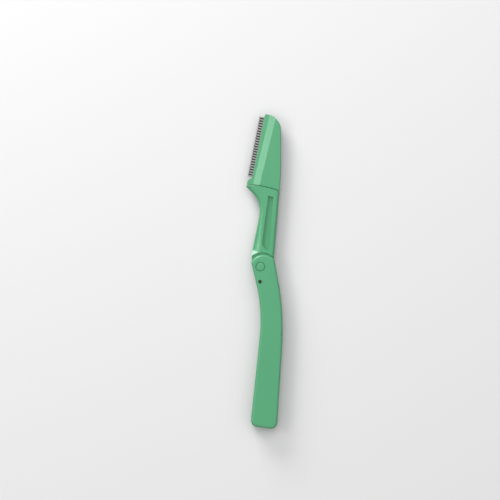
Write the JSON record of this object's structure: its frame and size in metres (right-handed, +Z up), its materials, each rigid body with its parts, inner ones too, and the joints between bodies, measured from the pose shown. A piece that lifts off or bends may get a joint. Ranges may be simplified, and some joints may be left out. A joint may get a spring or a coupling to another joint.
{
  "type": "folding eyebrow razor",
  "caption": "Folding eyebrow razor: a faceted plastic head with a comb-guarded steel blade on a neck that swings about a rivet into a curved, channel-shaped handle.",
  "frame": {"origin": "centre of the open razor's box, on the surface that the handle lies on", "axes": "+Y along the open razor towards the head's tip, +Z up from the side it lies on, +X towards the handle's closed back"},
  "size_m": [0.0182, 0.157, 0.0082],
  "materials": {
    "handle_plastic": "moulded green, glossy",
    "arm_plastic": "moulded green, glossy",
    "blade_steel": "ground steel",
    "comb_steel": "pressed thin sheet, bright"
  },
  "bodies": {
    "handle_body": {"handle": "handle_plastic", "pivot_rivet": "handle_plastic"},
    "folding_arm": {"arm": "arm_plastic", "head_front_cover": "arm_plastic", "head_back_cover": "arm_plastic", "blade": "blade_steel", "comb_guard": "comb_steel"}
  },
  "joints": [
    {"name": "fold", "type": "hinge", "parent": "handle_body", "child": "folding_arm", "pos_m": [-0.00219, 0.00246, 0.0041], "axis": [0, 0, 1], "range_deg": [0, 183]}
  ]
}
